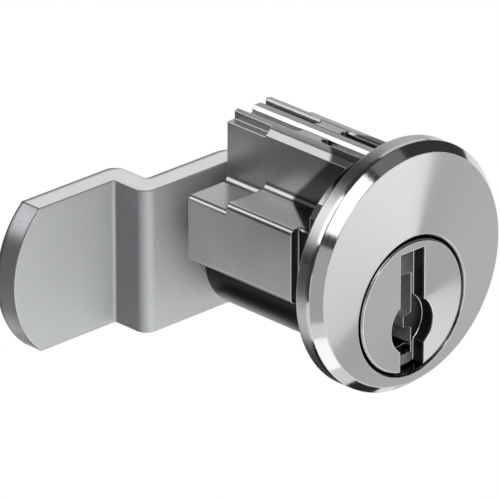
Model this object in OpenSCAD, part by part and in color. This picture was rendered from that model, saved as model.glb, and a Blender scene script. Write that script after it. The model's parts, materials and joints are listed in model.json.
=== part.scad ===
// Pin-tumbler mailbox lock with a round flange, a cross-shaped body and a stepped cam.
// X is to the right seen from the front, Y runs back into the door, Z is up.
// The origin is the centre of the door cut-out, on the flange's seat against the door.

/* [Flange] */
// Outer diameter of the flange
flange_d = 22.2; // [21.6:0.1:30]
// Thickness of the flange from its seat to the rim of its face
flange_t = 2.5; // [2:0.1:4]
// Radial width of the bevel around the face
bevel_w = 0.75; // [0.3:0.05:1.2]
// Depth of the bevel along the lock's axis
bevel_h = 0.95; // [0.3:0.05:1.4]
// Rise of the slightly conical face at its centre
face_rise = 0.2; // [0.05:0.05:0.5]

/* [Body] */
// Diameter of the round outline that passes the door cut-out
body_d = 19; // [18:0.1:19.6]
// Distance across the flat outer faces of the two ears
across_flats = 15.2; // [14.4:0.1:15.6]
// Length of the body behind the door face
body_l = 16.7; // [15.8:0.1:20]
// Length of the full double-D pilot behind the flange
pilot_l = 2; // [1:0.1:2.2]
// Width of the clip groove behind the pilot
groove_w = 2.2; // [1.5:0.1:2.6]
// Depth of the clip groove in each ear
groove_depth = 0.85; // [0.4:0.05:1]
// Height of the ears' top faces above the cut-out's centre
ear_top = 3.8; // [3:0.1:4.4]
// Depth of the ears' lower faces below the cut-out's centre
ear_bottom = 3; // [2.4:0.1:3.2]
// Rounding of the ears' long outer edges
ear_edge_r = 0.45; // [0.1:0.05:0.8]
// Width of the pin-housing arm
arm_w = 6; // [5.6:0.1:6.8]
// Fillet between the arm and the ears
arm_fillet_r = 0.7; // [0.3:0.05:1]
// Radius of the round barrel below the ears
barrel_r = 5.75; // [5.4:0.05:6]
// Length of the stepped-down stretch at the back of the body
rear_step_l = 4.65; // [3:0.05:6]
// Height of the step on the ears
ear_step = 0.75; // [0.3:0.05:1]
// Height of the step on the arm's top edges
arm_step = 0.5; // [0.2:0.05:0.8]
// Width of the step on the arm's top edges
arm_step_w = 0.85; // [0.5:0.05:1]
// Size of the bevel along the arm's top edges
arm_bevel = 0.35; // [0.1:0.05:0.45]

/* [Cover channel] */
// Width of the channel along the top of the arm
channel_w = 3; // [2.8:0.1:3.4]
// Height of the channel floor above the cut-out's centre
channel_floor = 8.35; // [8:0.05:8.5]
// Size of the bevels along the channel's top edges
channel_bevel = 0.25; // [0.1:0.05:0.3]
// Thickness of the cover strip's two wings
cover_t = 0.5; // [0.4:0.05:0.6]
// Width of the rib along the middle of the cover strip
rib_w = 1.3; // [1:0.05:1.5]
// Size of the bevels along the rib's top edges
rib_bevel = 0.3; // [0.1:0.05:0.35]
// Gap between the cover strip and each side of the channel
cover_gap = 0.05; // [0.02:0.01:0.1]
// Gap between each staked lip and the cover's rib
lip_slit = 0.15; // [0.1:0.05:0.3]
// Length of each staked lip along the channel
lip_l = 3.4; // [2:0.1:4]
// Distance of the lips' middle behind the door face
lip_mid = 8.4; // [7:0.1:10]

/* [Plug] */
// Distance of the plug's axis below the flange's centre
plug_drop = 3.33; // [3:0.01:3.6]
// Radius of the plug's round head
head_r = 5.95; // [5.7:0.05:6.1]
// Gap around the plug's head
head_gap = 0.2; // [0.1:0.05:0.3]
// Thickness of the plug's head
head_t = 2; // [1.8:0.1:2.4]
// Bevel around the plug's head and around its pocket
head_bevel = 0.15; // [0.05:0.05:0.25]
// Radius of the plug's barrel
plug_r = 4.45; // [4.3:0.05:4.6]
// Running clearance around the plug's barrel
plug_gap = 0.05; // [0.02:0.01:0.08]
// Width of the slot in the plug's head
slot_w = 2.84; // [2.4:0.02:3]
// Height of the slot's top above the plug's axis
slot_top = 5.13; // [4.6:0.01:5.3]
// Depth of the slot in the plug's head
slot_depth = 1.3; // [0.8:0.05:1.5]
// Radius of the round relief in the slot
relief_r = 2.48; // [2:0.02:2.8]
// Distance of the relief's centre below the plug's axis
relief_drop = 1.73; // [1.4:0.01:2]
// Width of the warded keyway
keyway_w = 2.2; // [1.9:0.1:2.4]
// Height of the keyway's top above the plug's axis
keyway_top = 2.4; // [2:0.1:2.8]
// Reach of each ward across the keyway
ward_reach = 0.9; // [0.5:0.05:1]
// Height of each ward at its tip
ward_h = 0.9; // [0.6:0.1:1.2]
// Length of the plug's barrel behind the housing
plug_tail_out = 1.3; // [1:0.1:1.6]

/* [Pins] */
// Distance between neighbouring pin chambers
pin_pitch = 2.6; // [2.5:0.05:2.7]
// Distance of the first pin chamber behind the door face
pin_start = 3.5; // [3.2:0.1:3.8]
// Radius of the pins
pin_r = 1.15; // [1:0.01:1.2]
// Gap around each pin in its chamber
pin_gap = 0.05; // [0.02:0.01:0.08]
// Length of each driver pin
driver_l = 2.6; // [2.2:0.1:3]
// Radius of the spring wire
wire_r = 0.13; // [0.1:0.01:0.16]
// Number of turns in each pin spring
spring_turns = 6; // [5:1:8]

/* [Cam] */
// Thickness of the cam plate
cam_t = 2.2; // [1.6:0.1:2.4]
// Width of the cam plate
cam_w = 13.2; // [11:0.1:15]
// Reach of the cam's tip from the plug's axis
cam_reach = 21.85; // [20:0.05:28]
// Distance of the step's outer face from the plug's axis
cam_step_x = 10.25; // [9.8:0.05:12]
// Backward offset of the tip
cam_offset = 3.8; // [3.6:0.05:5]
// Height of the rounded end of the tip
tip_round = 3; // [1.5:0.05:5]
// Outside radius of the cam's two coined bends
bend_r = 1.1; // [0.5:0.05:1.6]
// Inside radius of the cam's two coined bends
crease_r = 0.25; // [0.1:0.05:0.6]

/* [Tail hardware] */
// Thickness of the stop washer
stop_t = 1.2; // [0.8:0.1:1.5]
// Radius of the plug's double-D tail
tail_r = 3.2; // [2.8:0.05:3.6]
// Distance across the tail's flats
tail_flats = 4.6; // [4:0.1:5]
// Gap around the tail in the cam and the stop washer
tail_gap = 0.05; // [0.02:0.01:0.1]
// Radius of the cam screw's shank
screw_r = 1.55; // [1.3:0.05:1.7]
// Radius of the cam screw's head
screw_head_r = 3.5; // [3:0.05:3.9]
// Height of the cam screw's head
screw_head_h = 1.9; // [1.5:0.1:2.4]
// Thickness of the lock washer
washer_t = 0.8; // [0.5:0.05:1]

/* [Hidden] */
$fn = 64;
flange_r = flange_d / 2;
body_r = body_d / 2;
half_flats = across_flats / 2;
half_arm = arm_w / 2;
half_channel = channel_w / 2;
// Back ends of the pilot and of the clip groove, and the start of the rear step
groove_end = pilot_l + groove_w;
rear_step_y = body_l - rear_step_l;
axis_z = -plug_drop;
// Overlap between pieces of one solid, and a length past every face of the lock
lap = 0.5;
far = 40;
// Height of the arm's round top at a distance from the middle
function arm_top(x) = sqrt(body_r * body_r - x * x);
// Front face of the plug and back of its head
plug_face_y = -flange_t - face_rise / 2;
head_back_y = plug_face_y + head_t;
head_pocket_r = head_r + head_gap;
// Depth of the pocket's bevel, measured from the plug's face
pocket_bevel = head_bevel + face_rise / 2;
bore_r = plug_r + plug_gap;
plug_back_y = body_l + plug_tail_out;
slot_back_y = plug_face_y + slot_depth;
keyway_end_y = body_l - 1.5;
// Slope at the root of each ward, and the middle heights of the right and left wards above the plug's axis
ward_slope = 0.3;
right_ward_z = -1.95;
left_ward_z = 0.5;
chamber_r = pin_r + pin_gap;
pin_count = 5;
function pin_y(i) = pin_start + (i - 1) * pin_pitch;
// The pins meet just above the plug's barrel, as the right key holds them
shear_room = 0.1;
key_pin_top = axis_z + plug_r - 2 * shear_room;
driver_bottom = axis_z + bore_r + shear_room;
chamber_bottom = axis_z - plug_r / 2;
// Lengths of the five key pins, which make up this lock's code
key_pin_l = [4.9, 4.3, 5.5, 4.0, 5.2];
pin_tip_h = 0.6;
pin_tip_r = 0.45;
pin_bevel = 0.12;
// Room between the closed turns of a spring
wire_room = 0.02;
spring_bottom = driver_bottom + driver_l;
spring_h = channel_floor - spring_bottom;
coil_room = 0.08;
coil_r = pin_r - wire_r - coil_room;
// Cam stack behind the plug's barrel
cam_y = plug_back_y + stop_t;
cam_back_y = cam_y + cam_t;
tip_y = cam_y + cam_offset;
half_cam = cam_w / 2;
tail_short = 0.2;
tail_end_y = cam_back_y - tail_short;
washer_back_y = cam_back_y + washer_t;
washer_r = 4.3;
washer_hole_room = 0.25;
washer_split_w = 0.4;
washer_split_angle = 35;
thread_room = 0.05;
screw_hole_r = screw_r + thread_room;
screw_hole_end_y = body_l - 0.2;
screw_tip_y = screw_hole_end_y + 0.8;
// Heights and radii along the screw's domed head, as shares of the whole
dome_shoulder = 0.5;
dome_haunch = 0.8;
dome_haunch_r = 0.9;
dome_top_r = 0.6;
recess_w = 0.9;
recess_l = 4;
recess_depth = 1.1;
recess_angle = 45;
// Cast stop lugs on the housing's back and the washer's tab that runs between them
turn_angle = 90;
tab_half_angle = 14;
stop_clear_angle = 1;
lug_angle = 28;
lug_inner_r = 4.75;
lug_room = 0.25;
lug_back_y = cam_y - lug_room;
tab_outer_r = 5.6;
stop_disc_r = 4.4;
// Room between a staked lip and the cover's wing below it
lip_gap = 0.02;
// Length of each lip's root inside the channel's wall, and its depth below the wall's top
lip_root = 0.2;
lip_sink = 0.06;
cover_inset = 0.6;
cover_front_y = pilot_l + cover_gap;
cover_back_y = body_l - cover_inset;

// Extrudes a shape drawn in X and Z along the lock's axis, between two depths
module along_y(from, to) {
    translate([0, to, 0]) rotate([90, 0, 0]) linear_extrude(height = to - from) children();
}

// Round rod about the plug's axis, between two depths
module plug_rod(from, to, r) {
    translate([0, to, axis_z]) rotate([90, 0, 0]) cylinder(h = to - from, r = r);
}

// Double-D outline: a circle with two flats, the flats facing left and right
module double_d(r, flats) {
    intersection() {
        circle(r = r);
        translate([-flats / 2, -r]) square([flats, 2 * r]);
    }
}

// Rectangle with rounded corners, from two opposite corners
module rounded_box(x0, z0, x1, z1, r) {
    translate([x0 + r, z0]) square([x1 - x0 - 2 * r, z1 - z0]);
    translate([x0, z0 + r]) square([x1 - x0, z1 - z0 - 2 * r]);
    for (x = [x0 + r, x1 - r], z = [z0 + r, z1 - r]) translate([x, z]) circle(r = r);
}

// Corner piece with one hollow round side, which fills an inside corner or is cut from an outside one
module corner_fillet(x, z, r) {
    translate([x, z]) difference() {
        square([r, r]);
        translate([r, r]) circle(r = r);
    }
}

// Sector of a disc about the plug's axis, from one angle to another, seen from the front
module sector(from, to, r) {
    middle = (from + to) / 2;
    polygon([[0, 0], [r * cos(from), r * sin(from)], [r * cos(middle), r * sin(middle)],
             [r * cos(to), r * sin(to)]]);
}

// Upright arm with 45 degree slopes above its walls, before its top is rounded
module arm_outline() {
    edge_z = arm_top(half_arm) - arm_bevel;
    polygon([[-half_arm, axis_z], [half_arm, axis_z], [half_arm, edge_z],
             [0, edge_z + half_arm], [-half_arm, edge_z]]);
}

// Cross outline of the body: barrel, ears and arm, with the ears' top at the given height
module cross_outline(top, flats) {
    translate([0, axis_z]) circle(r = barrel_r);
    rounded_box(-flats, -ear_bottom, flats, top, ear_edge_r);
    intersection() {
        circle(r = body_r, $fn = 128);
        arm_outline();
    }
    for (side = [0, 1]) mirror([side, 0]) corner_fillet(half_arm, top, arm_fillet_r);
}

// Corners cut from the arm's top edges at the back
module arm_corner_cuts() {
    step_z = arm_top(half_arm) - arm_step;
    for (side = [0, 1]) mirror([side, 0])
        translate([half_arm - arm_step_w, step_z]) square([arm_w, body_d]);
}

// Section of the cover's channel, whose bevelled sides run out past the top of the arm
module channel_outline() {
    edge_z = arm_top(half_channel) - channel_bevel;
    top = body_r + lap;
    half_top = half_channel + top - edge_z;
    polygon([[-half_channel, channel_floor], [half_channel, channel_floor], [half_channel, edge_z],
             [half_top, top], [-half_top, top], [-half_channel, edge_z]]);
}

// Staked lip on each side of the channel, over the cover's wing, with hollow round ends
module cover_lips() {
    lip_z = channel_floor + cover_t + lip_gap;
    lip_x = rib_w / 2 + lip_slit;
    lip_w = half_channel - lip_x;
    lip_h = arm_top(half_channel + lip_root) - lip_z - lip_sink;
    for (side = [0, 1]) mirror([side, 0, 0]) translate([lip_x, lip_mid, lip_z]) difference() {
        translate([0, -lip_l / 2, 0]) cube([lip_w + lip_root, lip_l, lip_h]);
        for (end = [-1, 1])
            translate([lip_w / 2, end * lip_l / 2, -lap]) cylinder(h = body_r, r = lip_w / 2);
    }
}

// Two cast lugs on the housing's back that the stop washer's tab meets
module stop_lugs() {
    // The tab points down at rest and swings towards the left seen from the front
    first = -90 + tab_half_angle + stop_clear_angle;
    last = -90 - turn_angle - tab_half_angle - stop_clear_angle;
    along_y(body_l - lap, lug_back_y) translate([0, axis_z]) difference() {
        intersection() {
            circle(r = barrel_r);
            union() {
                sector(first, first + lug_angle, far);
                sector(last - lug_angle, last, far);
            }
        }
        circle(r = lug_inner_r);
    }
}

module housing() {
    color("#b9bab8") {
        difference() {
            union() {
                rotate([90, 0, 0]) rotate_extrude()
                    polygon([[0, 0], [flange_r, 0], [flange_r, flange_t - bevel_h],
                             [flange_r - bevel_w, flange_t], [0, flange_t + face_rise]]);
                along_y(-lap, pilot_l) double_d(body_r, across_flats);
                along_y(pilot_l - lap, groove_end + lap) cross_outline(ear_top, half_flats - groove_depth);
                along_y(groove_end, rear_step_y) cross_outline(ear_top, half_flats);
                along_y(rear_step_y - lap, body_l) difference() {
                    cross_outline(ear_top - ear_step, half_flats);
                    arm_corner_cuts();
                }
            }
            plug_rod(head_back_y, far, bore_r);
            plug_rod(-far, head_back_y + plug_gap, head_pocket_r);
            translate([0, plug_face_y - lap, axis_z]) rotate([-90, 0, 0])
                cylinder(h = pocket_bevel + lap, r1 = head_pocket_r + pocket_bevel + lap, r2 = head_pocket_r);
            along_y(pilot_l, far) channel_outline();
            for (i = [1 : pin_count])
                translate([0, pin_y(i), axis_z]) cylinder(h = body_r + plug_drop, r = chamber_r);
        }
        cover_lips();
        stop_lugs();
    }
}

// Warded keyway outline about the plug's axis
module keyway_outline() {
    half = keyway_w / 2;
    tip = half - ward_reach;
    inner = ward_h / 2;
    outer = inner + ward_slope;
    bottom = -plug_r - lap;
    polygon([[half, bottom], [half, right_ward_z - outer], [tip, right_ward_z - inner],
             [tip, right_ward_z + inner], [half, right_ward_z + outer], [half, keyway_top],
             [-half, keyway_top], [-half, left_ward_z + outer], [-tip, left_ward_z + inner],
             [-tip, left_ward_z - inner], [-half, left_ward_z - outer], [-half, bottom]]);
}

// Round head of the plug with a bevelled front edge
module plug_head() {
    translate([0, head_back_y, axis_z]) rotate([90, 0, 0]) rotate_extrude()
        polygon([[0, 0], [head_r, 0], [head_r, head_t - head_bevel],
                 [head_r - head_bevel, head_t], [0, head_t]]);
}

module plug() {
    color("#b4b5b3") difference() {
        union() {
            plug_head();
            plug_rod(head_back_y - lap, plug_back_y, plug_r);
            along_y(plug_back_y - lap, tail_end_y) translate([0, axis_z]) double_d(tail_r, tail_flats);
        }
        along_y(-far, slot_back_y) translate([-slot_w / 2, axis_z - far + slot_top]) square([slot_w, far]);
        translate([0, 0, -relief_drop]) plug_rod(-far, slot_back_y, relief_r);
        along_y(-far, keyway_end_y) translate([0, axis_z]) keyway_outline();
        for (i = [1 : pin_count])
            translate([0, pin_y(i), chamber_bottom]) cylinder(h = far, r = chamber_r);
        plug_rod(screw_hole_end_y, far, screw_hole_r);
    }
}

// Ribbed strip that closes the pin chambers, lying in the channel
module chamber_cover() {
    half = half_channel - cover_gap;
    half_rib = rib_w / 2;
    rib_top = arm_top(0) - cover_gap;
    color("#a9aaa8") along_y(cover_front_y, cover_back_y) union() {
        translate([-half, channel_floor]) square([2 * half, cover_t]);
        polygon([[-half_rib, channel_floor], [half_rib, channel_floor], [half_rib, rib_top - rib_bevel],
                 [half_rib - rib_bevel, rib_top], [rib_bevel - half_rib, rib_top],
                 [-half_rib, rib_top - rib_bevel]]);
    }
}

// Stop washer on the plug's tail, with one tab that points down at rest
module stop_washer() {
    color("#8f908e") along_y(plug_back_y, cam_y) translate([0, axis_z]) difference() {
        union() {
            circle(r = stop_disc_r);
            intersection() {
                circle(r = tab_outer_r);
                sector(-90 - tab_half_angle, -90 + tab_half_angle, far);
            }
        }
        double_d(tail_r + tail_gap, tail_flats + 2 * tail_gap);
    }
}

// Side profile of the cam seen from above: base, step and tip, with round bends and creases
module cam_profile() {
    step_back_x = cam_t - cam_step_x;
    tip_back_y = tip_y + cam_t;
    difference() {
        union() {
            translate([-cam_step_x, cam_y]) square([half_cam + cam_step_x, cam_t]);
            translate([-cam_step_x, cam_y]) square([cam_t, tip_back_y - cam_y]);
            translate([-cam_reach, tip_y]) square([cam_reach + step_back_x, cam_t]);
        }
        corner_fillet(-cam_step_x, cam_y, bend_r);
        rotate(180) corner_fillet(-step_back_x, -tip_back_y, bend_r);
    }
    corner_fillet(step_back_x, cam_back_y, crease_r);
    rotate(180) corner_fillet(cam_step_x, -tip_y, crease_r);
}

// Outline of the cam seen from the front, about the plug's axis
module cam_outline() {
    tip_r = (half_cam * half_cam + tip_round * tip_round) / (2 * tip_round);
    circle(r = half_cam);
    translate([tip_round - cam_reach, -half_cam]) square([cam_reach - tip_round, cam_w]);
    intersection() {
        translate([tip_r - cam_reach, 0]) circle(r = tip_r, $fn = 128);
        translate([-cam_reach, -half_cam]) square([tip_round + lap, cam_w]);
    }
}

module cam() {
    color("#b9bbba") difference() {
        intersection() {
            translate([0, 0, axis_z - half_cam]) linear_extrude(height = cam_w) cam_profile();
            along_y(cam_y - lap, tip_y + cam_t + lap) translate([0, axis_z]) cam_outline();
        }
        along_y(cam_y - lap, cam_back_y + lap) translate([0, axis_z])
            double_d(tail_r + tail_gap, tail_flats + 2 * tail_gap);
    }
}

// Split spring washer behind the cam
module lock_washer() {
    color("#9d9e9c") along_y(cam_back_y, washer_back_y) translate([0, axis_z]) difference() {
        circle(r = washer_r);
        circle(r = screw_r + washer_hole_room);
        rotate(washer_split_angle) translate([0, -washer_split_w / 2]) square([far, washer_split_w]);
    }
}

// Cross-recessed screw that holds the cam on the plug's tail
module cam_screw() {
    head_y = washer_back_y + screw_head_h;
    color("#a3a4a2") difference() {
        union() {
            plug_rod(screw_tip_y, washer_back_y + lap, screw_r);
            translate([0, washer_back_y, axis_z]) rotate([-90, 0, 0]) rotate_extrude()
                polygon([[0, 0], [screw_head_r, 0], [screw_head_r, screw_head_h * dome_shoulder],
                         [screw_head_r * dome_haunch_r, screw_head_h * dome_haunch],
                         [screw_head_r * dome_top_r, screw_head_h], [0, screw_head_h]]);
        }
        for (turn = [0, 90])
            along_y(head_y - recess_depth, far) translate([0, axis_z]) rotate(turn + recess_angle)
                translate([-recess_l / 2, -recess_w / 2]) square([recess_l, recess_w]);
    }
}

// Key pin with a pointed lower end and a bevelled top
module key_pin(i) {
    bottom = key_pin_top - key_pin_l[i - 1];
    color("#c9a45a") translate([0, pin_y(i), bottom]) rotate_extrude($fn = 32)
        polygon([[0, 0], [pin_tip_r, 0], [pin_r, pin_tip_h], [pin_r, key_pin_l[i - 1] - pin_bevel],
                 [pin_r - pin_bevel, key_pin_l[i - 1]], [0, key_pin_l[i - 1]]]);
}

// Driver pin with bevelled ends
module driver_pin(i) {
    color("#c9a45a") translate([0, pin_y(i), driver_bottom]) rotate_extrude($fn = 32)
        polygon([[0, 0], [pin_r - pin_bevel, 0], [pin_r, pin_bevel], [pin_r, driver_l - pin_bevel],
                 [pin_r - pin_bevel, driver_l], [0, driver_l]]);
}

// Coil spring with one closed turn at each end
module pin_spring(i) {
    sides = 6;
    steps_per_turn = 14;
    steps = spring_turns * steps_per_turn;
    closed = 2 * wire_r + wire_room;
    rise = spring_h - 2 * wire_r - 2 * closed;
    open_turns = spring_turns - 2;
    function coil_z(turns) = turns < 1 ? turns * closed :
        turns > spring_turns - 1 ? closed + rise + (turns - spring_turns + 1) * closed :
        closed + (turns - 1) * rise / open_turns;
    points = [for (s = [0 : steps], k = [0 : sides - 1])
        let (turn = s / steps_per_turn, a = turn * 360, b = k * 360 / sides, r = coil_r + wire_r * cos(b))
        [r * cos(a), r * sin(a), wire_r + coil_z(turn) + wire_r * sin(b)]];
    walls = [for (s = [0 : steps - 1], k = [0 : sides - 1])
        let (n = (k + 1) % sides, at = s * sides, up = at + sides)
        each [[at + k, up + k, up + n], [at + k, up + n, at + n]]];
    first_cap = [for (k = [0 : sides - 1]) k];
    last_cap = [for (k = [0 : sides - 1]) steps * sides + sides - 1 - k];
    color("#c8c9c7") translate([0, pin_y(i), spring_bottom])
        polyhedron(points = points, faces = concat(walls, [first_cap, last_cap]));
}

housing();
plug();
chamber_cover();
stop_washer();
cam();
lock_washer();
cam_screw();
key_pin(1);  // key_pin_1
key_pin(2);  // key_pin_2
key_pin(3);  // key_pin_3
key_pin(4);  // key_pin_4
key_pin(5);  // key_pin_5
driver_pin(1);  // driver_pin_1
driver_pin(2);  // driver_pin_2
driver_pin(3);  // driver_pin_3
driver_pin(4);  // driver_pin_4
driver_pin(5);  // driver_pin_5
pin_spring(1);  // pin_spring_1
pin_spring(2);  // pin_spring_2
pin_spring(3);  // pin_spring_3
pin_spring(4);  // pin_spring_4
pin_spring(5);  // pin_spring_5
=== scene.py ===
import json
import math

import bpy
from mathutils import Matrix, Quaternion, Vector


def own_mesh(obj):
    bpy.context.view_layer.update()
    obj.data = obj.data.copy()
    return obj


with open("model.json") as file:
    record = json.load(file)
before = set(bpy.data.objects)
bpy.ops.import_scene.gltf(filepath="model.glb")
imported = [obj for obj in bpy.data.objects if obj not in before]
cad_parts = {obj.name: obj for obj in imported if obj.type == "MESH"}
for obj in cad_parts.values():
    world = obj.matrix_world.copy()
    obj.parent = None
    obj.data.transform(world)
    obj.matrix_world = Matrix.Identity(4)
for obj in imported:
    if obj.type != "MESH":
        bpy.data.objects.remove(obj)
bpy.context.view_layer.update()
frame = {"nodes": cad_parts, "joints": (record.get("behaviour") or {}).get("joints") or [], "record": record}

# Sizes that the looks depend on, in metres
MM = 0.001
PLUG_AXIS_Z = -3.33 * MM
FLANGE_FRONT_Y = -2.5 * MM
# Flange: where its turned surface starts and where it is fully turned, and just behind its seat
TURNED_FROM_Y = -1.0 * MM
TURNED_FULL_Y = -1.4 * MM
BEHIND_SEAT_Y = 0.05 * MM
# Clip groove in the body's sides: just short of its end along the axis, and just inside its floor
GROOVE_END = 4.1 * MM
GROOVE_FLOOR_X = 6.7 * MM
# Edge of the flange's painted shadow in the corner above each ear: how steeply its edge slants sideways and
# up, its distance along the axis, how far it fades to each side, and a height just under the ear's rounded
# edge
SHADOW_SLANT = (1.5, 0.95)
SHADOW_REACH = 17.1 * MM
SHADOW_FADE = 0.3 * MM
EAR_EDGE_Z = 3.3 * MM
# Where the stepped-down rear stretch of the body starts
REAR_STEP_Y = 12.05 * MM
# A height between the ears' tops and the arm's rails
BELOW_RAILS_Z = 6 * MM
# Radius of the flange's face, just inside its bevel
FACE_RADIUS = 10.3 * MM
# Radii just outside the plug's pocket in the flange, and just inside the plug's bar
POCKET_RADIUS = 6.3 * MM
BAR_RADIUS = 4.3 * MM
# Along the plug: just behind the floor of the slot in its head, a depth from which its keyway is painted
# pale as painted light, and just past its keyway's end
SLOT_FLOOR_Y = -1.25 * MM
KEYWAY_LIT_Y = 0.2 * MM
KEYWAY_END_Y = 15.3 * MM
# Where painted shade round the plug and graphite on it start, near the face, and where each is at its full
GAP_SHADE_FROM_Y = -2.55 * MM
GAP_SHADE_FULL_Y = -2.4 * MM
GRAPHITE_FROM_Y = -2.6 * MM
GRAPHITE_FULL_Y = -2.35 * MM
# Round relief of the plug: its centre below the plug's axis, and its reach
RELIEF_DROP = 1.73 * MM
RELIEF_RADIUS = 2.5 * MM
# Left of this lies only the cam's tip
CAM_TIP_X = -17 * MM
# The studio floor's height and width
FLOOR_Z = -34 * MM
FLOOR_SIDE = 6
# Point that the lamps aim at, in millimetres
LOCK_MIDDLE_MM = (-4, 8, 0)
# Slope in degrees of the long flank of each turning groove, outwards on the flange's face and inwards on the
# plug's
FACE_FLANK = 5
PLUG_FLANK = 8
# A wave texture of scale 1 repeats after this many metres
WAVE_LENGTH = math.pi / 10

# Camera of the photograph: angles in degrees, scale in pixels per millimetre at the plug's face
PHOTO_SIDE = 500
CAMERA_AZIMUTH = -43.92
CAMERA_ELEVATION = 24.21
PIXELS_PER_MM = 11.918
CAMERA_DISTANCE = 667 * MM
PLUG_PIXEL = (411.6, 306.3)
SENSOR_MM = 36


def linear(code):
    """Linear colour of an sRGB hex code."""
    channels = [int(code[i:i + 2], 16) / 255 for i in (1, 3, 5)]
    return [c / 12.92 if c <= 0.04045 else ((c + 0.055) / 1.055) ** 2.4 for c in channels] + [1]


def add_node(tree, kind, settings=None, **inputs):
    """Adds a node with its settings, and sets or links each input: its socket's name, or i and its number."""
    made = tree.nodes.new(kind)
    for name, value in (settings or {}).items():
        setattr(made, name, value)
    for name, value in inputs.items():
        numbered = name[0] == "i" and name[1:].isdigit()
        socket = made.inputs[int(name[1:]) if numbered else name.replace("_", " ")]
        if isinstance(value, bpy.types.NodeSocket):
            tree.links.new(value, socket)
        else:
            socket.default_value = value
    return made


def new_material(name):
    """Empty node material with its output node."""
    material = bpy.data.materials.new(name)
    material.use_nodes = True
    material.node_tree.nodes.clear()
    output = material.node_tree.nodes.new("ShaderNodeOutputMaterial")
    return material, material.node_tree, output


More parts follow.
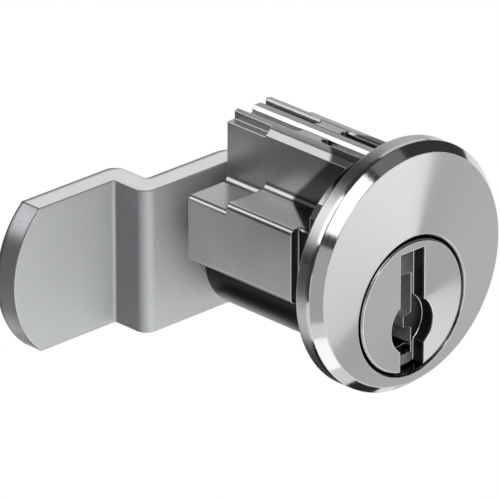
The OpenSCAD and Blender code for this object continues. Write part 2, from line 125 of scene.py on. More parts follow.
def nickel_plated_zinc_casting():
    # A zinc die casting, its flange turned and polished, then nickel plated all over. The flange is bright
    # with faint rings about its axis. The walls behind it keep the die's fine grain. Painted shade darkens
    # their corners, the clip groove and the pocket round the plug, the flange's shadow is painted into the
    # corner above each ear, the ear tops are painted light and the arm's side walls darker, and the edges are
    # painted lighter.
    material, tree, output = new_material("nickel_plated_zinc_casting")
    where = add_node(tree, "ShaderNodeTexCoord")
    place = add_node(tree, "ShaderNodeSeparateXYZ", Vector=where.outputs["Object"])
    turned = add_node(tree, "ShaderNodeMapRange", Value=place.outputs["Y"], From_Min=TURNED_FROM_Y,
                      From_Max=TURNED_FULL_Y)
    # Die grain of about 0.3 mm, and patches of flow about 4 mm across
    grain = add_node(tree, "ShaderNodeTexNoise", Vector=where.outputs["Object"], Scale=1 / (0.3 * MM),
                     Detail=3.0)
    flow = add_node(tree, "ShaderNodeTexNoise", Vector=where.outputs["Object"], Scale=1 / (4 * MM),
                    Detail=2.0)
    # Turning marks, really about 0.08 mm apart, drawn 0.3 mm apart so that they show
    rings = add_node(tree, "ShaderNodeTexWave", {"wave_type": "RINGS", "rings_direction": "Y"},
                     Vector=where.outputs["Object"], Scale=WAVE_LENGTH / (0.3 * MM), Distortion=1.5,
                     Detail=2.0, Detail_Scale=3.0)
    # Painted shade: the corners and creases that the occlusion finds are painted dark
    corners = add_node(tree, "ShaderNodeAmbientOcclusion", {"samples": 12, "only_local": True},
                       Distance=1.6 * MM)
    corner_shade = add_node(tree, "ShaderNodeMapRange", Value=corners.outputs["AO"], From_Min=0.1, From_Max=0.42,
                    To_Min=1.0, To_Max=0.0)
    wall = add_node(tree, "ShaderNodeMix", {"data_type": "RGBA"}, Factor=flow.outputs[0],
                    i6=linear("#A9AAA9"), i7=linear("#BDBEBD"))
    # Painted shadow: the clip groove, and the corner where arm, ear and flange meet behind the flange, are
    # painted dark as the flange's shadow and the groove's shade
    flattened = add_node(tree, "ShaderNodeMapping", Vector=where.outputs["Object"], Scale=(1, 0, 1))
    radius = add_node(tree, "ShaderNodeVectorMath", {"operation": "LENGTH"}, i0=flattened.outputs[0])
    sideways = add_node(tree, "ShaderNodeMath", {"operation": "ABSOLUTE"}, i0=place.outputs["X"])
    outward = add_node(tree, "ShaderNodeMath", {"operation": "MULTIPLY_ADD"}, i0=sideways.outputs[0],
                       i1=SHADOW_SLANT[0], i2=place.outputs["Y"])
    shadow_edge = add_node(tree, "ShaderNodeMath", {"operation": "MULTIPLY_ADD"}, i0=place.outputs["Z"],
                     i1=SHADOW_SLANT[1], i2=outward.outputs[0])
    short_of = add_node(tree, "ShaderNodeMapRange", {"interpolation_type": "SMOOTHSTEP"},
                        Value=shadow_edge.outputs[0], From_Min=SHADOW_REACH - SHADOW_FADE,
                        From_Max=SHADOW_REACH + SHADOW_FADE, To_Min=1.0, To_Max=0.0)
    above = add_node(tree, "ShaderNodeMath", {"operation": "GREATER_THAN"}, i0=place.outputs["Z"],
                     i1=EAR_EDGE_Z)
    flange_shadow = add_node(tree, "ShaderNodeMath", {"operation": "MULTIPLY"}, i0=short_of.outputs[0],
                        i1=above.outputs[0])
    before_ear = add_node(tree, "ShaderNodeMath", {"operation": "LESS_THAN"}, i0=place.outputs["Y"],
                          i1=GROOVE_END)
    at_side = add_node(tree, "ShaderNodeMath", {"operation": "GREATER_THAN"}, i0=sideways.outputs[0],
                       i1=GROOVE_FLOOR_X)
    in_groove = add_node(tree, "ShaderNodeMath", {"operation": "MULTIPLY"}, i0=before_ear.outputs[0],
                         i1=at_side.outputs[0])
    shadow_and_groove_shade = add_node(tree, "ShaderNodeMath", {"operation": "MAXIMUM"}, i0=flange_shadow.outputs[0],
                         i1=in_groove.outputs[0])
    behind = add_node(tree, "ShaderNodeMath", {"operation": "GREATER_THAN"}, i0=place.outputs["Y"],
                      i1=BEHIND_SEAT_Y)
    painted_shadow = add_node(tree, "ShaderNodeMath", {"operation": "MULTIPLY"}, i0=shadow_and_groove_shade.outputs[0],
                      i1=behind.outputs[0])
    # Painted shade: the arm's side walls between the ears are painted a darker grey than the rest
    facing = add_node(tree, "ShaderNodeSeparateXYZ", Vector=where.outputs["Normal"])
    aside = add_node(tree, "ShaderNodeMath", {"operation": "ABSOLUTE"}, i0=facing.outputs["X"])
    side_wall = add_node(tree, "ShaderNodeMapRange", Value=aside.outputs[0], From_Min=0.9, From_Max=0.98)
    painted_wall_shade = add_node(tree, "ShaderNodeMath", {"operation": "MULTIPLY"}, i0=side_wall.outputs[0],
                       i1=above.outputs[0])
    wall_shaded = add_node(tree, "ShaderNodeMix", {"data_type": "RGBA"}, Factor=painted_wall_shade.outputs[0],
                      i6=wall.outputs[2], i7=linear("#808180"))
    # Painted light: the tops of the ears are painted brightest, and less bright on the stepped-down stretch
    # at the rear
    upward = add_node(tree, "ShaderNodeMapRange", Value=facing.outputs["Z"], From_Min=0.9, From_Max=0.98)
    below_rails = add_node(tree, "ShaderNodeMath", {"operation": "LESS_THAN"}, i0=place.outputs["Z"],
                           i1=BELOW_RAILS_Z)
    top = add_node(tree, "ShaderNodeMath", {"operation": "MULTIPLY"}, i0=upward.outputs[0],
                   i1=below_rails.outputs[0])
    stepped = add_node(tree, "ShaderNodeMath", {"operation": "GREATER_THAN"}, i0=place.outputs["Y"],
                       i1=REAR_STEP_Y)
    painted_top_light = add_node(tree, "ShaderNodeMix", {"data_type": "RGBA"}, Factor=stepped.outputs[0],
                         i6=linear("#F4F5F4"), i7=linear("#BABBBA"))
    top_lit = add_node(tree, "ShaderNodeMix", {"data_type": "RGBA"}, Factor=top.outputs[0],
                      i6=wall_shaded.outputs[2], i7=painted_top_light.outputs[2])
    # Painted shadow and shade, in dark grey
    walls = add_node(tree, "ShaderNodeMix", {"data_type": "RGBA"}, Factor=painted_shadow.outputs[0],
                     i6=top_lit.outputs[2], i7=linear("#3A3A3A"))
    plate = add_node(tree, "ShaderNodeMix", {"data_type": "RGBA"}, Factor=turned.outputs[0],
                     i6=walls.outputs[2], i7=linear("#C9CAC9"))
    # Painted shade in the pocket round the plug, in the narrow gap round its head
    from_plug = add_node(tree, "ShaderNodeMapping", Vector=where.outputs["Object"],
                         Location=(0, 0, -PLUG_AXIS_Z), Scale=(1, 0, 1))
    reach = add_node(tree, "ShaderNodeVectorMath", {"operation": "LENGTH"}, i0=from_plug.outputs[0])
    in_pocket = add_node(tree, "ShaderNodeMath", {"operation": "LESS_THAN"}, i0=reach.outputs["Value"],
                         i1=POCKET_RADIUS)
    below_face = add_node(tree, "ShaderNodeMapRange", Value=place.outputs["Y"], From_Min=GAP_SHADE_FROM_Y,
                          From_Max=GAP_SHADE_FULL_Y)
    gap_shade = add_node(tree, "ShaderNodeMath", {"operation": "MULTIPLY"}, i0=in_pocket.outputs[0],
                      i1=below_face.outputs[0])
    # Painted shade in the gap and in the corners, near black
    dark = add_node(tree, "ShaderNodeMath", {"operation": "MAXIMUM"}, i0=gap_shade.outputs[0],
                    i1=corner_shade.outputs[0])
    shaded_plate = add_node(tree, "ShaderNodeMix", {"data_type": "RGBA"}, Factor=dark.outputs[0],
                      i6=plate.outputs[2], i7=linear("#1C1B1A"))
    # Corners that stand out are painted lighter, partly as wear from tumbling and partly as a painted
    # highlight
    rounded = add_node(tree, "ShaderNodeBevel", {"samples": 8}, Radius=0.16 * MM)
    surface = add_node(tree, "ShaderNodeNewGeometry")
    turn = add_node(tree, "ShaderNodeVectorMath", {"operation": "DOT_PRODUCT"}, i0=rounded.outputs[0],
                    i1=surface.outputs["Normal"])
    smear_and_edge_highlight = add_node(tree, "ShaderNodeMapRange", Value=turn.outputs["Value"], From_Min=0.995, From_Max=0.93)
    colour = add_node(tree, "ShaderNodeMix", {"data_type": "RGBA"}, Factor=smear_and_edge_highlight.outputs[0],
                      i6=shaded_plate.outputs[2], i7=linear("#DADBDA"))
    rough_wall = add_node(tree, "ShaderNodeMapRange", Value=grain.outputs[0], To_Min=0.28, To_Max=0.33)
    rough_ring = add_node(tree, "ShaderNodeMapRange", Value=rings.outputs["Fac"], To_Min=0.1, To_Max=0.13)
    rough = add_node(tree, "ShaderNodeMix", {"data_type": "FLOAT"}, Factor=turned.outputs[0],
                     i2=rough_wall.outputs[0], i3=rough_ring.outputs[0])
    grained = add_node(tree, "ShaderNodeBump", Strength=0.05, Distance=0.004 * MM, Height=grain.outputs[0],
                       Normal=rounded.outputs[0])
    # Each turning groove has one long flank that leans outwards, so the light runs round the face in sectors.
    # The grooves are too fine to draw one by one, so their flanks are drawn as one even slope
    flat = add_node(tree, "ShaderNodeMath", {"operation": "MINIMUM"}, i0=radius.outputs["Value"],
                    i1=FACE_RADIUS)
    flank = add_node(tree, "ShaderNodeMath", {"operation": "MULTIPLY"}, i0=flat.outputs[0],
                     i1=-math.tan(math.radians(FACE_FLANK)))
    grooved = add_node(tree, "ShaderNodeBump", Strength=1.0, Distance=1.0, Height=flank.outputs[0],
                       Normal=rounded.outputs[0])
    ringed = add_node(tree, "ShaderNodeBump", Strength=0.04, Distance=0.004 * MM, Height=rings.outputs["Fac"],
                      Normal=grooved.outputs[0])
    normal = add_node(tree, "ShaderNodeMix", {"data_type": "VECTOR"}, Factor=turned.outputs[0],
                      i4=grained.outputs[0], i5=ringed.outputs[0])
    metal = add_node(tree, "ShaderNodeBsdfPrincipled", Base_Color=colour.outputs[2], Metallic=1.0,
                     Roughness=rough.outputs[0], Normal=normal.outputs[1])
    tree.links.new(metal.outputs[0], output.inputs[0])
    return material


def turned_nickel_plated_brass():
    # The plug is turned from brass bar, broached, then plated. Its face is bright with rings about its own
    # axis, and graphite from years of keys darkens the slot and the mouth of the keyway. Painted shade
    # darkens the walls of the slot and the relief, the keyway is painted paler deeper in as painted light,
    # and the edges are painted bright.
    material, tree, output = new_material("turned_nickel_plated_brass")
    where = add_node(tree, "ShaderNodeTexCoord")
    # Turning marks drawn 0.25 mm apart, and smears of graphite about 0.7 mm across
    on_axis = add_node(tree, "ShaderNodeMapping", Vector=where.outputs["Object"],
                       Location=(0, 0, -PLUG_AXIS_Z))
    rings = add_node(tree, "ShaderNodeTexWave", {"wave_type": "RINGS", "rings_direction": "Y"},
                     Vector=on_axis.outputs[0], Scale=WAVE_LENGTH / (0.25 * MM), Distortion=1.2,
                     Detail=2.0, Detail_Scale=3.0)
    smear = add_node(tree, "ShaderNodeTexNoise", Vector=where.outputs["Object"], Scale=1 / (0.7 * MM),
                     Detail=4.0)
    place = add_node(tree, "ShaderNodeSeparateXYZ", Vector=where.outputs["Object"])
    flattened = add_node(tree, "ShaderNodeMapping", Vector=on_axis.outputs[0], Scale=(1, 0, 1))
    radius = add_node(tree, "ShaderNodeVectorMath", {"operation": "LENGTH"}, i0=flattened.outputs[0])
    # The graphite lies inside the bar and all round the head, from the face to just past the keyway's end
    in_bar = add_node(tree, "ShaderNodeMath", {"operation": "LESS_THAN"}, i0=radius.outputs["Value"],
                      i1=BAR_RADIUS)
    in_head = add_node(tree, "ShaderNodeMath", {"operation": "LESS_THAN"}, i0=place.outputs["Y"],
                       i1=SLOT_FLOOR_Y)
    inside = add_node(tree, "ShaderNodeMath", {"operation": "MAXIMUM"}, i0=in_bar.outputs[0],
                      i1=in_head.outputs[0])
    below_face = add_node(tree, "ShaderNodeMapRange", Value=place.outputs["Y"], From_Min=GRAPHITE_FROM_Y,
                          From_Max=GRAPHITE_FULL_Y)
    before_end = add_node(tree, "ShaderNodeMath", {"operation": "LESS_THAN"}, i0=place.outputs["Y"],
                          i1=KEYWAY_END_Y)
    covered = add_node(tree, "ShaderNodeMath", {"operation": "MULTIPLY"}, i0=inside.outputs[0],
                       i1=below_face.outputs[0])
    graphite = add_node(tree, "ShaderNodeMath", {"operation": "MULTIPLY"}, i0=covered.outputs[0],
                        i1=before_end.outputs[0])
    # Painted light: deeper in, the keyway is painted near white so that it reads lit
    lit_depth = add_node(tree, "ShaderNodeMapRange", Value=place.outputs["Y"], From_Min=SLOT_FLOOR_Y,
                    From_Max=KEYWAY_LIT_Y)
    smear_and_edge_highlight = add_node(tree, "ShaderNodeMix", {"data_type": "RGBA"}, Factor=smear.outputs[0],
                      i6=linear("#9A9A9A"), i7=linear("#C4C4C4"))
    graphite_and_painted_light = add_node(tree, "ShaderNodeMix", {"data_type": "RGBA"}, Factor=lit_depth.outputs[0],
                     i6=smear_and_edge_highlight.outputs[2], i7=linear("#E8E8E6"))
    # Painted shade: the walls of the head and the round relief are painted near black, where shade falls
    facing = add_node(tree, "ShaderNodeSeparateXYZ", Vector=where.outputs["Normal"])
    forward = add_node(tree, "ShaderNodeMath", {"operation": "ABSOLUTE"}, i0=facing.outputs["Y"])
    upright = add_node(tree, "ShaderNodeMath", {"operation": "LESS_THAN"}, i0=forward.outputs[0], i1=0.5)
    from_relief = add_node(tree, "ShaderNodeMapping", Vector=flattened.outputs[0],
                           Location=(0, 0, RELIEF_DROP))
    relief_reach = add_node(tree, "ShaderNodeVectorMath", {"operation": "LENGTH"}, i0=from_relief.outputs[0])
    packed = add_node(tree, "ShaderNodeMath", {"operation": "LESS_THAN"}, i0=relief_reach.outputs["Value"],
                      i1=RELIEF_RADIUS)
    shaded_place = add_node(tree, "ShaderNodeMath", {"operation": "MAXIMUM"}, i0=packed.outputs[0],
                     i1=upright.outputs[0])
    painted_head_shade = add_node(tree, "ShaderNodeMath", {"operation": "MULTIPLY"}, i0=shaded_place.outputs[0],
                     i1=in_head.outputs[0])
    head_shaded = add_node(tree, "ShaderNodeMix", {"data_type": "RGBA"}, Factor=painted_head_shade.outputs[0],
                    i6=graphite_and_painted_light.outputs[2], i7=linear("#262626"))
    # Keys wear the edges, and the edges are also painted bright as a highlight
    rounded = add_node(tree, "ShaderNodeBevel", {"samples": 8}, Radius=0.13 * MM)
    surface = add_node(tree, "ShaderNodeNewGeometry")
    turn = add_node(tree, "ShaderNodeVectorMath", {"operation": "DOT_PRODUCT"}, i0=rounded.outputs[0],
                    i1=surface.outputs["Normal"])
    away_from_edges = add_node(tree, "ShaderNodeMapRange", Value=turn.outputs["Value"], From_Min=0.93, From_Max=0.99)
    covered_dark = add_node(tree, "ShaderNodeMath", {"operation": "MULTIPLY"}, i0=graphite.outputs[0],
                            i1=away_from_edges.outputs[0])
    bare = add_node(tree, "ShaderNodeMapRange", Value=covered_dark.outputs[0], To_Min=1.0, To_Max=0.25)
    # Painted highlight: the edges are painted near white
    plate = add_node(tree, "ShaderNodeMix", {"data_type": "RGBA"}, Factor=away_from_edges.outputs[0],
                     i6=linear("#F2F2F2"), i7=linear("#C9CAC9"))
    colour = add_node(tree, "ShaderNodeMix", {"data_type": "RGBA"}, Factor=covered_dark.outputs[0],
                      i6=plate.outputs[2], i7=head_shaded.outputs[2])
    bright = add_node(tree, "ShaderNodeMapRange", Value=rings.outputs["Fac"], To_Min=0.1, To_Max=0.14)
    rough = add_node(tree, "ShaderNodeMix", {"data_type": "FLOAT"}, Factor=covered_dark.outputs[0],
                     i2=bright.outputs[0], i3=0.35)
    # Here the long flanks of the grooves lean inwards, because the tool fed the other way
    flank = add_node(tree, "ShaderNodeMath", {"operation": "MULTIPLY"}, i0=radius.outputs["Value"],
                     i1=math.tan(math.radians(PLUG_FLANK)))
    grooved = add_node(tree, "ShaderNodeBump", Strength=1.0, Distance=1.0, Height=flank.outputs[0],
                       Normal=rounded.outputs[0])
    ringed = add_node(tree, "ShaderNodeBump", Strength=0.04, Distance=0.004 * MM, Height=rings.outputs["Fac"],
                      Normal=grooved.outputs[0])
    metal = add_node(tree, "ShaderNodeBsdfPrincipled", Base_Color=colour.outputs[2], Metallic=bare.outputs[0],
                     Roughness=rough.outputs[0], Normal=ringed.outputs[0])
    tree.links.new(metal.outputs[0], output.inputs[0])
    return material


def rolled_nickel_silver_strip():
    # The cover is cut from rolled strip: fine lengthwise lines, painted shade in the corners where the
    # staked lips press on it, and a painted highlight on the rib's shoulders.
    material, tree, output = new_material("rolled_nickel_silver_strip")
    where = add_node(tree, "ShaderNodeTexCoord")
    # Rolling lines about 0.15 mm apart, drawn out lengthwise
    along = add_node(tree, "ShaderNodeMapping", Vector=where.outputs["Object"], Scale=(1, 0.06, 1))
    lines = add_node(tree, "ShaderNodeTexNoise", Vector=along.outputs[0], Scale=1 / (0.15 * MM), Detail=3.0)
    # Painted shade: the corners that the occlusion finds are painted near black
    corners = add_node(tree, "ShaderNodeAmbientOcclusion", {"samples": 8}, Distance=0.8 * MM)
    corner_shade = add_node(tree, "ShaderNodeMapRange", Value=corners.outputs["AO"], From_Min=0.3, From_Max=0.75,
                    To_Min=1.0, To_Max=0.0)
    # Painted highlight: the rib's shoulders and walls are painted lighter than its top
    facing = add_node(tree, "ShaderNodeSeparateXYZ", Vector=where.outputs["Normal"])
    shoulder_highlight = add_node(tree, "ShaderNodeMapRange", Value=facing.outputs["Z"], From_Min=0.8, From_Max=0.95,
                    To_Min=1.0, To_Max=0.0)
    strip = add_node(tree, "ShaderNodeMix", {"data_type": "RGBA"}, Factor=shoulder_highlight.outputs[0],
                     i6=linear("#969795"), i7=linear("#C6C7C5"))
    colour = add_node(tree, "ShaderNodeMix", {"data_type": "RGBA"}, Factor=corner_shade.outputs[0],
                      i6=strip.outputs[2], i7=linear("#2A2927"))
    rough = add_node(tree, "ShaderNodeMapRange", Value=lines.outputs[0], To_Min=0.14, To_Max=0.26)
    rounded = add_node(tree, "ShaderNodeBevel", {"samples": 8}, Radius=0.08 * MM)
    bump = add_node(tree, "ShaderNodeBump", Strength=0.12, Distance=0.01 * MM, Height=lines.outputs[0],
                    Normal=rounded.outputs[0])
    metal = add_node(tree, "ShaderNodeBsdfPrincipled", Base_Color=colour.outputs[2], Metallic=1.0,
                     Roughness=rough.outputs[0], Normal=bump.outputs[0])
    tree.links.new(metal.outputs[0], output.inputs[0])
    return material


def blanked_nickel_plated_steel():
    # The cam is blanked from steel plate, bent, tumbled and barrel plated. The plate is half matt, as a fine
    # haze over the metal, and its cut edges are smoother, with the press tool's lines across the thickness.
    material, tree, output = new_material("blanked_nickel_plated_steel")
    where = add_node(tree, "ShaderNodeTexCoord")
    facing = add_node(tree, "ShaderNodeSeparateXYZ", Vector=where.outputs["Normal"])
    flat = add_node(tree, "ShaderNodeMath", {"operation": "ABSOLUTE"}, i0=facing.outputs["Z"])
    cut = add_node(tree, "ShaderNodeMapRange", Value=flat.outputs[0], From_Min=0.25, From_Max=0.5)
    # Press lines about 0.2 mm apart, a satin grain of about 0.35 mm and clouds about 6 mm across
    stroke = add_node(tree, "ShaderNodeMapping", Vector=where.outputs["Object"], Scale=(1, 0.15, 1))
    press = add_node(tree, "ShaderNodeTexNoise", Vector=stroke.outputs[0], Scale=1 / (0.2 * MM), Detail=3.0)
    satin = add_node(tree, "ShaderNodeTexNoise", Vector=where.outputs["Object"], Scale=1 / (0.35 * MM),
                     Detail=4.0)
    cloud = add_node(tree, "ShaderNodeTexNoise", Vector=where.outputs["Object"], Scale=1 / (6 * MM),
                     Detail=2.0)
    bright = add_node(tree, "ShaderNodeMix", {"data_type": "RGBA"}, Factor=cloud.outputs[0],
                      i6=linear("#EAECEC"), i7=linear("#F2F4F4"))
    # Painted shade: faces that look sideways, the step and the end of the tip, are painted darker
    forward = add_node(tree, "ShaderNodeMath", {"operation": "ABSOLUTE"}, i0=facing.outputs["Y"])
    edge_on = add_node(tree, "ShaderNodeMapRange", Value=forward.outputs[0], From_Min=0.1, From_Max=0.95,
                       To_Min=1.0, To_Max=0.0)
    aside = add_node(tree, "ShaderNodeMath", {"operation": "ABSOLUTE"}, i0=facing.outputs["X"])
    sideways = add_node(tree, "ShaderNodeMapRange", Value=aside.outputs[0], From_Min=0.3, From_Max=0.6)
    painted_step_shade = add_node(tree, "ShaderNodeMath", {"operation": "MULTIPLY"}, i0=sideways.outputs[0],
                         i1=edge_on.outputs[0])
    step_shaded = add_node(tree, "ShaderNodeMix", {"data_type": "RGBA"}, Factor=painted_step_shade.outputs[0],
                    i6=bright.outputs[2], i7=linear("#9A9B9E"))
    # A blanked edge is sheared bright next to the front face and torn dull along the rear one
    place = add_node(tree, "ShaderNodeSeparateXYZ", Vector=where.outputs["Object"])
    at_tip = add_node(tree, "ShaderNodeMath", {"operation": "LESS_THAN"}, i0=place.outputs["X"], i1=CAM_TIP_X)
    blanked = add_node(tree, "ShaderNodeMath", {"operation": "MAXIMUM"}, i0=cut.outputs[0],
                       i1=at_tip.outputs[0])
    broad = add_node(tree, "ShaderNodeBevel", {"samples": 16}, Radius=1.0 * MM)
    lean = add_node(tree, "ShaderNodeSeparateXYZ", Vector=broad.outputs[0])
    rear = add_node(tree, "ShaderNodeMapRange", Value=lean.outputs["Y"], From_Min=0.1, From_Max=0.5)
    rear_edge = add_node(tree, "ShaderNodeMath", {"operation": "MULTIPLY"}, i0=rear.outputs[0],
                         i1=edge_on.outputs[0])
    torn = add_node(tree, "ShaderNodeMath", {"operation": "MULTIPLY"}, i0=rear_edge.outputs[0],
                    i1=blanked.outputs[0])
    colour = add_node(tree, "ShaderNodeMix", {"data_type": "RGBA"}, Factor=torn.outputs[0],
                      i6=step_shaded.outputs[2], i7=linear("#77797B"))
    smooth = add_node(tree, "ShaderNodeMapRange", Value=satin.outputs[0], To_Min=0.7, To_Max=0.78)
    edge = add_node(tree, "ShaderNodeMapRange", Value=press.outputs[0], To_Min=0.25, To_Max=0.4)
    rough = add_node(tree, "ShaderNodeMix", {"data_type": "FLOAT"}, Factor=cut.outputs[0],
                     i2=smooth.outputs[0], i3=edge.outputs[0])
    marks = add_node(tree, "ShaderNodeMix", {"data_type": "FLOAT"}, Factor=cut.outputs[0],
                     i2=satin.outputs[0], i3=press.outputs[0])
    rounded = add_node(tree, "ShaderNodeBevel", {"samples": 8}, Radius=0.3 * MM)
    bump = add_node(tree, "ShaderNodeBump", Strength=0.08, Distance=0.01 * MM, Height=marks.outputs[0],
                    Normal=rounded.outputs[0])
    metal = add_node(tree, "ShaderNodeBsdfPrincipled", Base_Color=colour.outputs[2], Metallic=1.0,
                     Roughness=rough.outputs[0], Normal=bump.outputs[0])
    tree.links.new(metal.outputs[0], output.inputs[0])
    return material


def hardware_metal(name, pale, dark, low, high, grain_mm, edge_mm):
    """Metal of a small piece: two close shades over its grain, with low to high roughness."""
    material, tree, output = new_material(name)
    where = add_node(tree, "ShaderNodeTexCoord")
    grain = add_node(tree, "ShaderNodeTexNoise", Vector=where.outputs["Object"], Scale=1 / (grain_mm * MM),
                     Detail=3.0)
    colour = add_node(tree, "ShaderNodeMix", {"data_type": "RGBA"}, Factor=grain.outputs[0],
                      i6=linear(dark), i7=linear(pale))
    rough = add_node(tree, "ShaderNodeMapRange", Value=grain.outputs[0], To_Min=low, To_Max=high)
    rounded = add_node(tree, "ShaderNodeBevel", {"samples": 8}, Radius=edge_mm * MM)
    bump = add_node(tree, "ShaderNodeBump", Strength=0.1, Distance=0.01 * MM, Height=grain.outputs[0],
                    Normal=rounded.outputs[0])
    metal = add_node(tree, "ShaderNodeBsdfPrincipled", Base_Color=colour.outputs[2], Metallic=1.0,
                     Roughness=rough.outputs[0], Normal=bump.outputs[0])
    tree.links.new(metal.outputs[0], output.inputs[0])
    return material


materials = {
    "nickel_casting": nickel_plated_zinc_casting(),
    "nickel_plug": turned_nickel_plated_brass(),
    "nickel_strip": rolled_nickel_silver_strip(),
    # Washers blanked from bare steel: grey, dull, slightly mottled
    "plain_steel": hardware_metal("blanked_bare_steel", pale="#A5A5A3", dark="#8C8C8A", low=0.3, high=0.45,
                                  grain_mm=0.5, edge_mm=0.08),
    "plated_steel_plate": blanked_nickel_plated_steel(),
    # Screw with zinc plate: pale blue-grey and satin
    "plated_screw": hardware_metal("zinc_plated_steel", pale="#C3C6C9", dark="#A7ABB0", low=0.22, high=0.36,
                                   grain_mm=0.4, edge_mm=0.1),
    # Pins turned from brass: yellow and bright
    "pin_brass": hardware_metal("turned_brass", pale="#D8B469", dark="#C29A4C", low=0.18, high=0.28,
                                grain_mm=0.3, edge_mm=0.05),
    # Springs of drawn wire: grey and smooth
    "spring_steel": hardware_metal("drawn_spring_steel", pale="#C4C5C4", dark="#ADAEAD", low=0.2, high=0.32,
                                   grain_mm=0.2, edge_mm=0.03),
}
for part in frame["record"]["subparts"]:
    node_object = frame["nodes"][part["node"]]
    node_object.data.materials.clear()
    node_object.data.materials.append(materials[part["material_slot"]])


def shorten_springs():
    """Each pin spring stands under the cover, above its driver pin; here each gets a mesh of its own."""
    for joint in frame["joints"]:
        if joint["name"].startswith("driver_lift_"):
            spring = "pin_spring_" + joint["name"][-1]
            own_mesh(frame["nodes"][spring])


def make_camera():
    """Camera at the photograph's angle, moved sideways so that the plug falls on its pixel."""
    azimuth = math.radians(CAMERA_AZIMUTH)
    elevation = math.radians(CAMERA_ELEVATION)
    right = Vector((math.cos(azimuth), math.sin(azimuth), 0))
    level = Vector((math.sin(azimuth), -math.cos(azimuth), 0))
    back = level * math.cos(elevation) + Vector((0, 0, math.sin(elevation)))
    up = back.cross(right)
    across = (PHOTO_SIDE / 2 - PLUG_PIXEL[0]) / PIXELS_PER_MM * MM
    rise = (PLUG_PIXEL[1] - PHOTO_SIDE / 2) / PIXELS_PER_MM * MM
    aim = Vector((0, FLANGE_FRONT_Y, PLUG_AXIS_Z)) + right * across + up * rise
    lens = bpy.data.cameras.new("camera")
    lens.sensor_width = SENSOR_MM
    lens.lens = PIXELS_PER_MM * SENSOR_MM / PHOTO_SIDE * CAMERA_DISTANCE / MM
    lens.clip_start = 10 * MM
    holder = bpy.data.objects.new("camera", lens)
    bpy.context.scene.collection.objects.link(holder)
    holder.location = aim + back * CAMERA_DISTANCE
    holder.rotation_euler = back.to_track_quat("Z", "Y").to_euler()
    bpy.context.scene.camera = holder


def make_floor():
    """Plain white floor well below the lock, which is held in the air as a door holds it."""
    material, tree, output = new_material("white_studio_floor")
    path = add_node(tree, "ShaderNodeLightPath")
    seen = add_node(tree, "ShaderNodeMath", {"operation": "MAXIMUM"}, i0=path.outputs["Is Camera Ray"],
                    i1=path.outputs["Is Glossy Ray"])
    matt = add_node(tree, "ShaderNodeBsdfDiffuse", Color=linear("#F4F4F4"))
    white = add_node(tree, "ShaderNodeEmission", Color=linear("#FFFFFF"), Strength=1.0)
    mixed = add_node(tree, "ShaderNodeMixShader", Fac=seen.outputs[0], i1=matt.outputs[0],
                     i2=white.outputs[0])
    tree.links.new(mixed.outputs[0], output.inputs[0])
    bpy.ops.object.select_all(action="DESELECT")
    bpy.ops.mesh.primitive_plane_add(size=FLOOR_SIDE, location=(0, 0, FLOOR_Z))
    floor = bpy.context.object
    floor.name = "floor"
    floor.data.materials.append(material)


def make_card(name, centre_mm, size_mm, aim_mm, turn, shades, brightness):
    """Studio card that only the metal mirrors, turned about its own axis. Its shade runs across its width."""
    material, tree, output = new_material(name + "_card")
    where = add_node(tree, "ShaderNodeTexCoord")
    across = add_node(tree, "ShaderNodeSeparateXYZ", Vector=where.outputs["Object"])
    share = add_node(tree, "ShaderNodeMath", {"operation": "ADD"}, i0=across.outputs["X"], i1=0.5)
    shade = add_node(tree, "ShaderNodeMix", {"data_type": "RGBA"}, Factor=share.outputs[0],
                     i6=linear(shades[0]), i7=linear(shades[1]))
    board = add_node(tree, "ShaderNodeEmission", Color=shade.outputs[2], Strength=brightness)
    tree.links.new(board.outputs[0], output.inputs[0])
    centre = Vector(centre_mm) * MM
    bpy.ops.object.select_all(action="DESELECT")
    bpy.ops.mesh.primitive_plane_add(size=1, location=centre)
    card = bpy.context.object
    card.name = name
    card.scale = (size_mm[0] * MM, size_mm[1] * MM, 1)
    facing = (Vector(aim_mm) * MM - centre).to_track_quat("Z", "Y")
    card.rotation_euler = (facing @ Quaternion((0, 0, 1), math.radians(turn))).to_euler()
    card.visible_camera = False
    card.visible_shadow = False
    card.visible_diffuse = False
    card.data.materials.append(material)


def make_lamp(name, place_mm, size_mm, brightness):
    """Soft square lamp aimed at the lock. A brightness of 1 looks like white paper where metal mirrors it."""
    lamp = bpy.data.lights.new(name, "AREA")
    lamp.size = size_mm * MM
    lamp.energy = brightness * math.pi * lamp.size ** 2
    holder = bpy.data.objects.new(name, lamp)
    bpy.context.scene.collection.objects.link(holder)
    holder.location = Vector(place_mm) * MM
    holder.rotation_euler = (Vector(LOCK_MIDDLE_MM) - Vector(place_mm)).to_track_quat("-Z", "Y").to_euler()


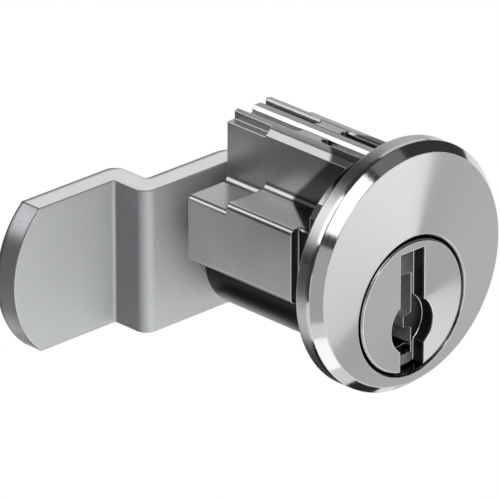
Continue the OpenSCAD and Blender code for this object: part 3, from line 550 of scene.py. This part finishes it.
def make_world():
    """Even grey surround."""
    world = bpy.data.worlds.new("studio")
    bpy.context.scene.world = world
    world.use_nodes = True
    tree = world.node_tree
    tree.nodes.clear()
    output = tree.nodes.new("ShaderNodeOutputWorld")
    surround = add_node(tree, "ShaderNodeBackground", Color=linear("#404040"), Strength=1.0)
    tree.links.new(surround.outputs[0], output.inputs[0])


shorten_springs()
make_camera()
make_world()
make_floor()
# Lamps: name, place and size in millimetres, brightness
make_lamp("key", (-106, -157, 204), 190, 1.9)
make_lamp("back", (-150, 184, 150), 150, 2.1)
make_lamp("side", (177, 184, 115), 200, 0.8)
# Cards: name, centre and size and point faced in millimetres, turn in degrees, shades across, brightness
make_card("bright_front", (60, -112, -33), (150, 64), (60, -112, 0), -26.2, ("#FFFFFF", "#DCDCDC"), 1.35)
make_card("grey_front", (93.7, -66.2, -32), (50, 170), (93.7, -66.2, 0), 54, ("#E4E4E4", "#C8C8C8"), 1.0)
make_card("grey_front_left", (-78, -45, -32), (70, 80), (-78, -45, 0), 0, ("#C4C4C4", "#C4C4C4"), 1.0)
make_card("grey_side", (-92, -62, 2), (90, 70), (0, -2, 0), 0, ("#C4C4C4", "#C4C4C4"), 1.0)
make_card("bright_below", (-20, -8, -31), (18, 14), (-20, -8, 0), 0, ("#FFFFFF", "#FFFFFF"), 1.6)
# Painted shadow: a dark sheet on the floor under the lock stands in for its shadow there, as the metal
# mirrors it
make_card("shadow_below", (4, 2.5, -31), (12, 12), (4, 2.5, 0), 0, ("#303030", "#303030"), 1.0)
make_card("dark_rim", (-2, 21, -31), (36, 15), (-2, 21, 0), 0, ("#202020", "#202020"), 1.0)
make_card("dark_behind", (-10, 37, -31), (20, 16), (-10, 37, 0), 0, ("#303030", "#303030"), 1.0)
make_card("grey_right", (30, 22, -31), (24, 28), (30, 22, 0), 0, ("#D0D0D0", "#D0D0D0"), 1.0)
make_card("white_front", (20, -170, 40), (130, 90), (0, -2, 0), 0, ("#F0F0F0", "#F0F0F0"), 1.0)
make_card("grey_left", (-60, 65, -24), (90, 60), (-6, 8, 0), 0, ("#444444", "#545454"), 1.0)
make_card("grey_top", (38, -43, 103), (50, 50), (0, -2, 10), 0, ("#848484", "#848484"), 1.0)
bpy.context.scene.view_settings.view_transform = "Standard"
